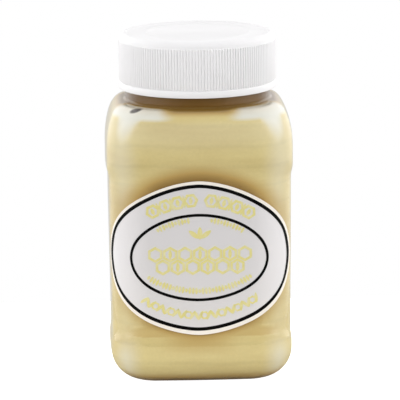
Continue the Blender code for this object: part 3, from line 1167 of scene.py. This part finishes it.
@dataclass(frozen=True)
class RibbedCap:
    """The white screw cap: a turned cup with fine ribs, a plain band below them and a rounded edge."""

    radius: float              # to the tops of the ribs
    bottom: float
    top: float
    finish: MouldedPolypropylene = MouldedPolypropylene()
    edge: float = 2.6
    dip: float = 0.35          # how deep the top's middle lies
    dip_radius: float = 29.6
    dip_rim: Profile = ((-0.3, 0.0), (0.0, 0.03), (0.36, 0.27), (0.6, 0.35))  # out, up from its floor
    rib_count: int = 168
    rib_depth: float = 0.42
    rib_low: float = 3.2       # above the cap's bottom
    rib_high: float = 3.2      # below the cap's top
    rib_end: float = 0.5       # the ribs fade in and out over this height
    rib_crest: float = 1.6     # more than 1: they are flat at their tops
    band_top: Profile = ((0.42, 0.35), (0.12, 0.55), (0.0, 0.75))  # inwards, down from the ribs
    band_foot: Profile = ((0.0, 0.35), (0.1, 0.1), (0.35, 0.0))  # inwards, up from the bottom
    inside_radius: float = 31.6
    wall: float = 1.3
    points_per_rib: int = 6
    ring_radius: float = 22.0  # a low ring moulded on the top
    ring_width: float = 0.7
    ring_height: float = 0.16
    gate_radius: float = 1.6   # the gate spot in the middle
    gate_floor: float = 0.6    # share of it that is level
    gate_depth: float = 0.1
    edge_steps: int = 8
    rib_end_steps: int = 6
    skin: float = 0.01         # points this close to the ribs' roots carry the ribs

    def rib(self, angle: float, height: float) -> float:
        """Say how far the surface stands out over the ribs' roots.

        Args:
            angle: round the cap, in radians.
            height: above the table.

        Returns:
            The height of the rib there.
        """
        wave = 0.5 + 0.5 * math.cos(angle * self.rib_count)
        crest = ease(wave * self.rib_crest)
        rise = ease((height - self.bottom - self.rib_low) / self.rib_end + 0.5)
        fall = ease((self.top - self.rib_high - height) / self.rib_end + 0.5)
        return self.rib_depth * crest * rise * fall

    def section(self) -> list[Pair]:
        """Give the cap's section from the middle of its top, over its edge and down to its inside.

        Returns:
            Radius and height, point by point.
        """
        root = self.radius - self.rib_depth
        floor = self.top - self.dip
        made = [(self.gate_radius * self.gate_floor, floor - self.gate_depth), (self.gate_radius, floor)]
        for share, rise in ((-1.0, 0.0), (-0.5, 1.0), (0.5, 1.0), (1.0, 0.0)):
            made.append((self.ring_radius + share * self.ring_width, floor + rise * self.ring_height))
        made += [(self.dip_radius + out, floor + up) for out, up in self.dip_rim]
        for step in range(1, self.edge_steps + 1):
            angle = math.pi / 2.0 * step / self.edge_steps
            made.append((root - self.edge * (1.0 - math.sin(angle)),
                         self.top - self.edge * (1.0 - math.cos(angle))))
        low = self.bottom + self.rib_low
        for end in (self.top - self.rib_high, low):
            for step in range(self.rib_end_steps + 1):
                made.append((root, end + self.rib_end * (0.5 - step / self.rib_end_steps)))
        made += [(self.radius - inwards, low - down) for inwards, down in self.band_top]
        made += [(self.radius - inwards, self.bottom + up) for inwards, up in self.band_foot]
        return made + [(self.inside_radius, self.bottom), (self.inside_radius, self.top - self.wall)]

    def build(self) -> bpy.types.Object:
        """Extrude a circle along the section, inwards and outwards, and raise the ribs on its skirt."""
        mesh = bmesh.new()
        (radius, height), *rest = self.section()
        made = bmesh.ops.create_circle(mesh, cap_ends=True, radius=radius * MM,
                                       segments=self.rib_count * self.points_per_rib)
        bmesh.ops.translate(mesh, verts=made["verts"], vec=(0.0, 0.0, height * MM))
        edges = mesh.edges[:]
        for next_radius, next_height in rest:
            fresh, edges = extrude_ring(mesh, edges)
            wider = next_radius / radius
            bmesh.ops.scale(mesh, verts=list(fresh), vec=(wider, wider, 1.0))
            bmesh.ops.translate(mesh, verts=list(fresh), vec=(0.0, 0.0, (next_height - height) * MM))
            radius, height = next_radius, next_height
        bmesh.ops.contextual_create(mesh, geom=edges)
        root = self.radius - self.rib_depth
        for vert in mesh.verts:
            out = vert.co.xy.length / MM
            if out > root - self.skin:
                wider = 1.0 + self.rib(math.atan2(vert.co.y, vert.co.x), vert.co.z / MM) / out
                vert.co = Vector((vert.co.x * wider, vert.co.y * wider, vert.co.z))
        bmesh.ops.recalc_face_normals(mesh, faces=mesh.faces[:])
        return settle("ribbed_cap", mesh, self.finish.material(), ("cap",))


# The studio


def direction(azimuth: float, elevation: float) -> Vector:
    """Give a direction.

    Args:
        azimuth: degrees round from the camera's side (-Y), positive to the right.
        elevation: degrees up.

    Returns:
        The direction out from the jar, one long.
    """
    azimuth, elevation = math.radians(azimuth), math.radians(elevation)
    return Vector((math.sin(azimuth) * math.cos(elevation), -math.cos(azimuth) * math.cos(elevation),
                   math.sin(elevation)))


@dataclass(frozen=True)
class Softbox:
    """One large soft lamp, aimed at the jar."""

    name: str
    azimuth: float
    elevation: float
    watts: float
    distance: float = 1.1
    size: Pair = (0.9, 0.9)

    def hang(self, target: Vector) -> None:
        """Hang the lamp and turn it to its target."""
        lamp = bpy.data.lights.new(self.name, "AREA")
        lamp.shape = "RECTANGLE"
        lamp.size, lamp.size_y = self.size
        lamp.energy = self.watts
        holder = link_object(self.name, lamp)
        out = direction(self.azimuth, self.elevation)
        holder.location = target + out * self.distance
        holder.rotation_euler = (-out).to_track_quat("-Z", "Y").to_euler()
        holder.visible_camera = False
        holder.visible_glossy = False       # so that no rectangle shows in the clear wall


@dataclass(frozen=True)
class Umbrella:
    """One large lamp far off in the room, whose light fades out softly round its middle."""

    azimuth: float
    elevation: float
    strength: float
    core: float   # degrees from its middle out to where it starts to fade
    reach: float  # degrees out to where it is gone

    def shine(self, tree: Tree, towards: Socket,
              base: Socket) -> Socket:
        """Add its light to the room's.

        Args:
            tree: the room's node tree.
            towards: the direction looked in.
            base: the light without this lamp.

        Returns:
            The light with it.
        """
        middle = direction(self.azimuth, self.elevation)
        near = add_node(tree, "ShaderNodeVectorMath", {"operation": "DOT_PRODUCT", 1: middle}, {0: towards})
        glow = add_node(tree, "ShaderNodeMapRange",
                        {"interpolation_type": "SMOOTHSTEP", "From Min": math.cos(math.radians(self.reach)),
                         "From Max": math.cos(math.radians(self.core)), "To Max": self.strength},
                        {"Value": near.outputs["Value"]})
        return add_node(tree, "ShaderNodeMath", None, {0: base, 1: glow.outputs[0]}).outputs[0]


@dataclass(frozen=True)
class Studio:
    """A pale backlit table in a white room, soft lamps on both sides, and the camera."""

    floor_size: float = 0.24
    floor_cream: str = "CCC9BE"
    floor_roughness: float = 0.6
    floor_glow: float = 1.0             # of its backlight, which only the camera sees
    room_front: float = 0.12            # the room's light from behind the camera
    room_back: float = 0.68             # and from behind the jar
    room_turn: Pair = (-0.95, 0.0)      # it changes between these Y of a direction
    room_above: float = 0.80            # share of it that comes from overhead
    overhead_turn: Pair = (0.45, 0.95)  # which begins between these Z of a direction
    umbrellas: tuple[Umbrella, ...] = (
        Umbrella(-138.0, 24.0, 1.0, 14.0, 46.0),
        Umbrella(138.0, 24.0, 1.0, 14.0, 46.0),
        Umbrella(-84.0, 26.0, 1.1, 8.0, 30.0),
        Umbrella(84.0, 26.0, 1.1, 8.0, 30.0),
    )
    target: Triple = (0.0, 0.0, 0.07214)
    camera_distance: float = 1.3675
    camera_pitch: float = 0.200  # radians down
    camera_yaw: float = 0.033
    camera_roll: float = -0.011
    camera_lens: float = 288.0
    camera_sensor: float = 36.0
    camera_shift: float = 0.0035
    camera_reach: Pair = (0.05, 50.0)
    lamps: tuple[Softbox, ...] = (
        Softbox("left_fill", -48.0, 13.0, 6.6),
        Softbox("right_fill", 48.0, 13.0, 6.8),
    )

    def lay_floor(self) -> None:
        """Lay the table's pale top, a backlit acrylic sheet as used for white backgrounds."""
        mesh = bmesh.new()
        bmesh.ops.create_grid(mesh, x_segments=1, y_segments=1, size=self.floor_size / 2.0)
        data = bpy.data.meshes.new("floor")
        mesh.to_mesh(data)
        mesh.free()
        material, tree = new_material("opal_acrylic")
        path = add_node(tree, "ShaderNodeLightPath")
        glow = add_node(tree, "ShaderNodeMath", {"operation": "MULTIPLY", 1: self.floor_glow},
                        {0: path.outputs["Is Camera Ray"]})
        shader = add_node(tree, "ShaderNodeBsdfPrincipled",
                          {"Base Color": linear(self.floor_cream), "Roughness": self.floor_roughness,
                           "Emission Color": WHITE_LIGHT},
                          {"Emission Strength": glow.outputs[0]})
        add_node(tree, "ShaderNodeOutputMaterial", None, {"Surface": shader.outputs[0]})
        data.materials.append(material)
        link_object("floor", data)

    def light_room(self) -> None:
        """Light the room: white to look at, brighter behind the jar than behind the camera."""
        room = bpy.data.worlds.new("white_room")
        room.use_nodes = True
        tree = room.node_tree
        tree.nodes.clear()
        towards = add_node(tree, "ShaderNodeTexCoord").outputs["Generated"]
        axes = add_node(tree, "ShaderNodeSeparateXYZ", None, {0: towards})
        depth, overhead = (
            add_node(tree, "ShaderNodeMapRange",
                     {"interpolation_type": "SMOOTHSTEP", "From Min": span[0], "From Max": span[1],
                      "To Min": ends[0], "To Max": ends[1]},
                     {"Value": axes.outputs[axis]}).outputs[0]
            for axis, span, ends in (("Y", self.room_turn, (self.room_front, self.room_back)),
                                     ("Z", self.overhead_turn, (1.0, self.room_above))))
        strength = add_node(tree, "ShaderNodeMath", {"operation": "MULTIPLY"},
                            {0: depth, 1: overhead}).outputs[0]
        for umbrella in self.umbrellas:
            strength = umbrella.shine(tree, towards, strength)
        path = add_node(tree, "ShaderNodeLightPath")
        seen = add_node(tree, "ShaderNodeMix", {3: 1.0}, {0: path.outputs["Is Camera Ray"], 2: strength})
        sky = add_node(tree, "ShaderNodeBackground", {"Color": WHITE_LIGHT}, {"Strength": seen.outputs[0]})
        add_node(tree, "ShaderNodeOutputWorld", None, {"Surface": sky.outputs[0]})
        bpy.context.scene.world = room

    def set_camera(self) -> None:
        """Set the camera a little above the shoulder, looking slightly down at the label."""
        pitch, yaw = self.camera_pitch, self.camera_yaw
        ahead = Vector((math.sin(yaw) * math.cos(pitch), math.cos(yaw) * math.cos(pitch), -math.sin(pitch)))
        lens = bpy.data.cameras.new("camera")
        lens.lens = self.camera_lens
        lens.sensor_width = self.camera_sensor
        lens.shift_x = self.camera_shift
        lens.clip_start, lens.clip_end = self.camera_reach
        camera = link_object("camera", lens)
        camera.location = Vector(self.target) - ahead * self.camera_distance
        aim = ahead.to_track_quat("-Z", "Y") @ Quaternion((0.0, 0.0, 1.0), self.camera_roll)
        camera.rotation_euler = aim.to_euler()
        bpy.context.scene.camera = camera

    def build(self) -> None:
        """Set up the floor, the light and the camera."""
        self.lay_floor()
        self.light_room()
        for lamp in self.lamps:
            lamp.hang(Vector(self.target))
        self.set_camera()
        bpy.context.scene.view_settings.view_transform = "Standard"
        LOG.info("studio: %d lamps", len(self.lamps))


def main() -> None:
    """Build the jar's pieces from the inside out, then the studio round them."""
    logging.basicConfig(level=logging.INFO, format="%(name)s %(message)s")
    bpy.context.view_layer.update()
    jar_low, jar_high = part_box("jar")
    cap_low, cap_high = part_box("cap")
    form = SquareForm(bulge_half=(jar_high.x - jar_low.x) / 2.0 / MM, neck_top=jar_high.z / MM)
    label = OvalLabel(form)
    HoneyFill(form, label).build()
    ClearJar(form).build()
    label.build_film()
    label.build_rings()
    GoldOrnament(label).build()
    RibbedCap(radius=(cap_high.x - cap_low.x) / 2.0 / MM, bottom=cap_low.z / MM,
              top=cap_high.z / MM).build()
    Studio().build()


if __name__ == "__main__":
    main()
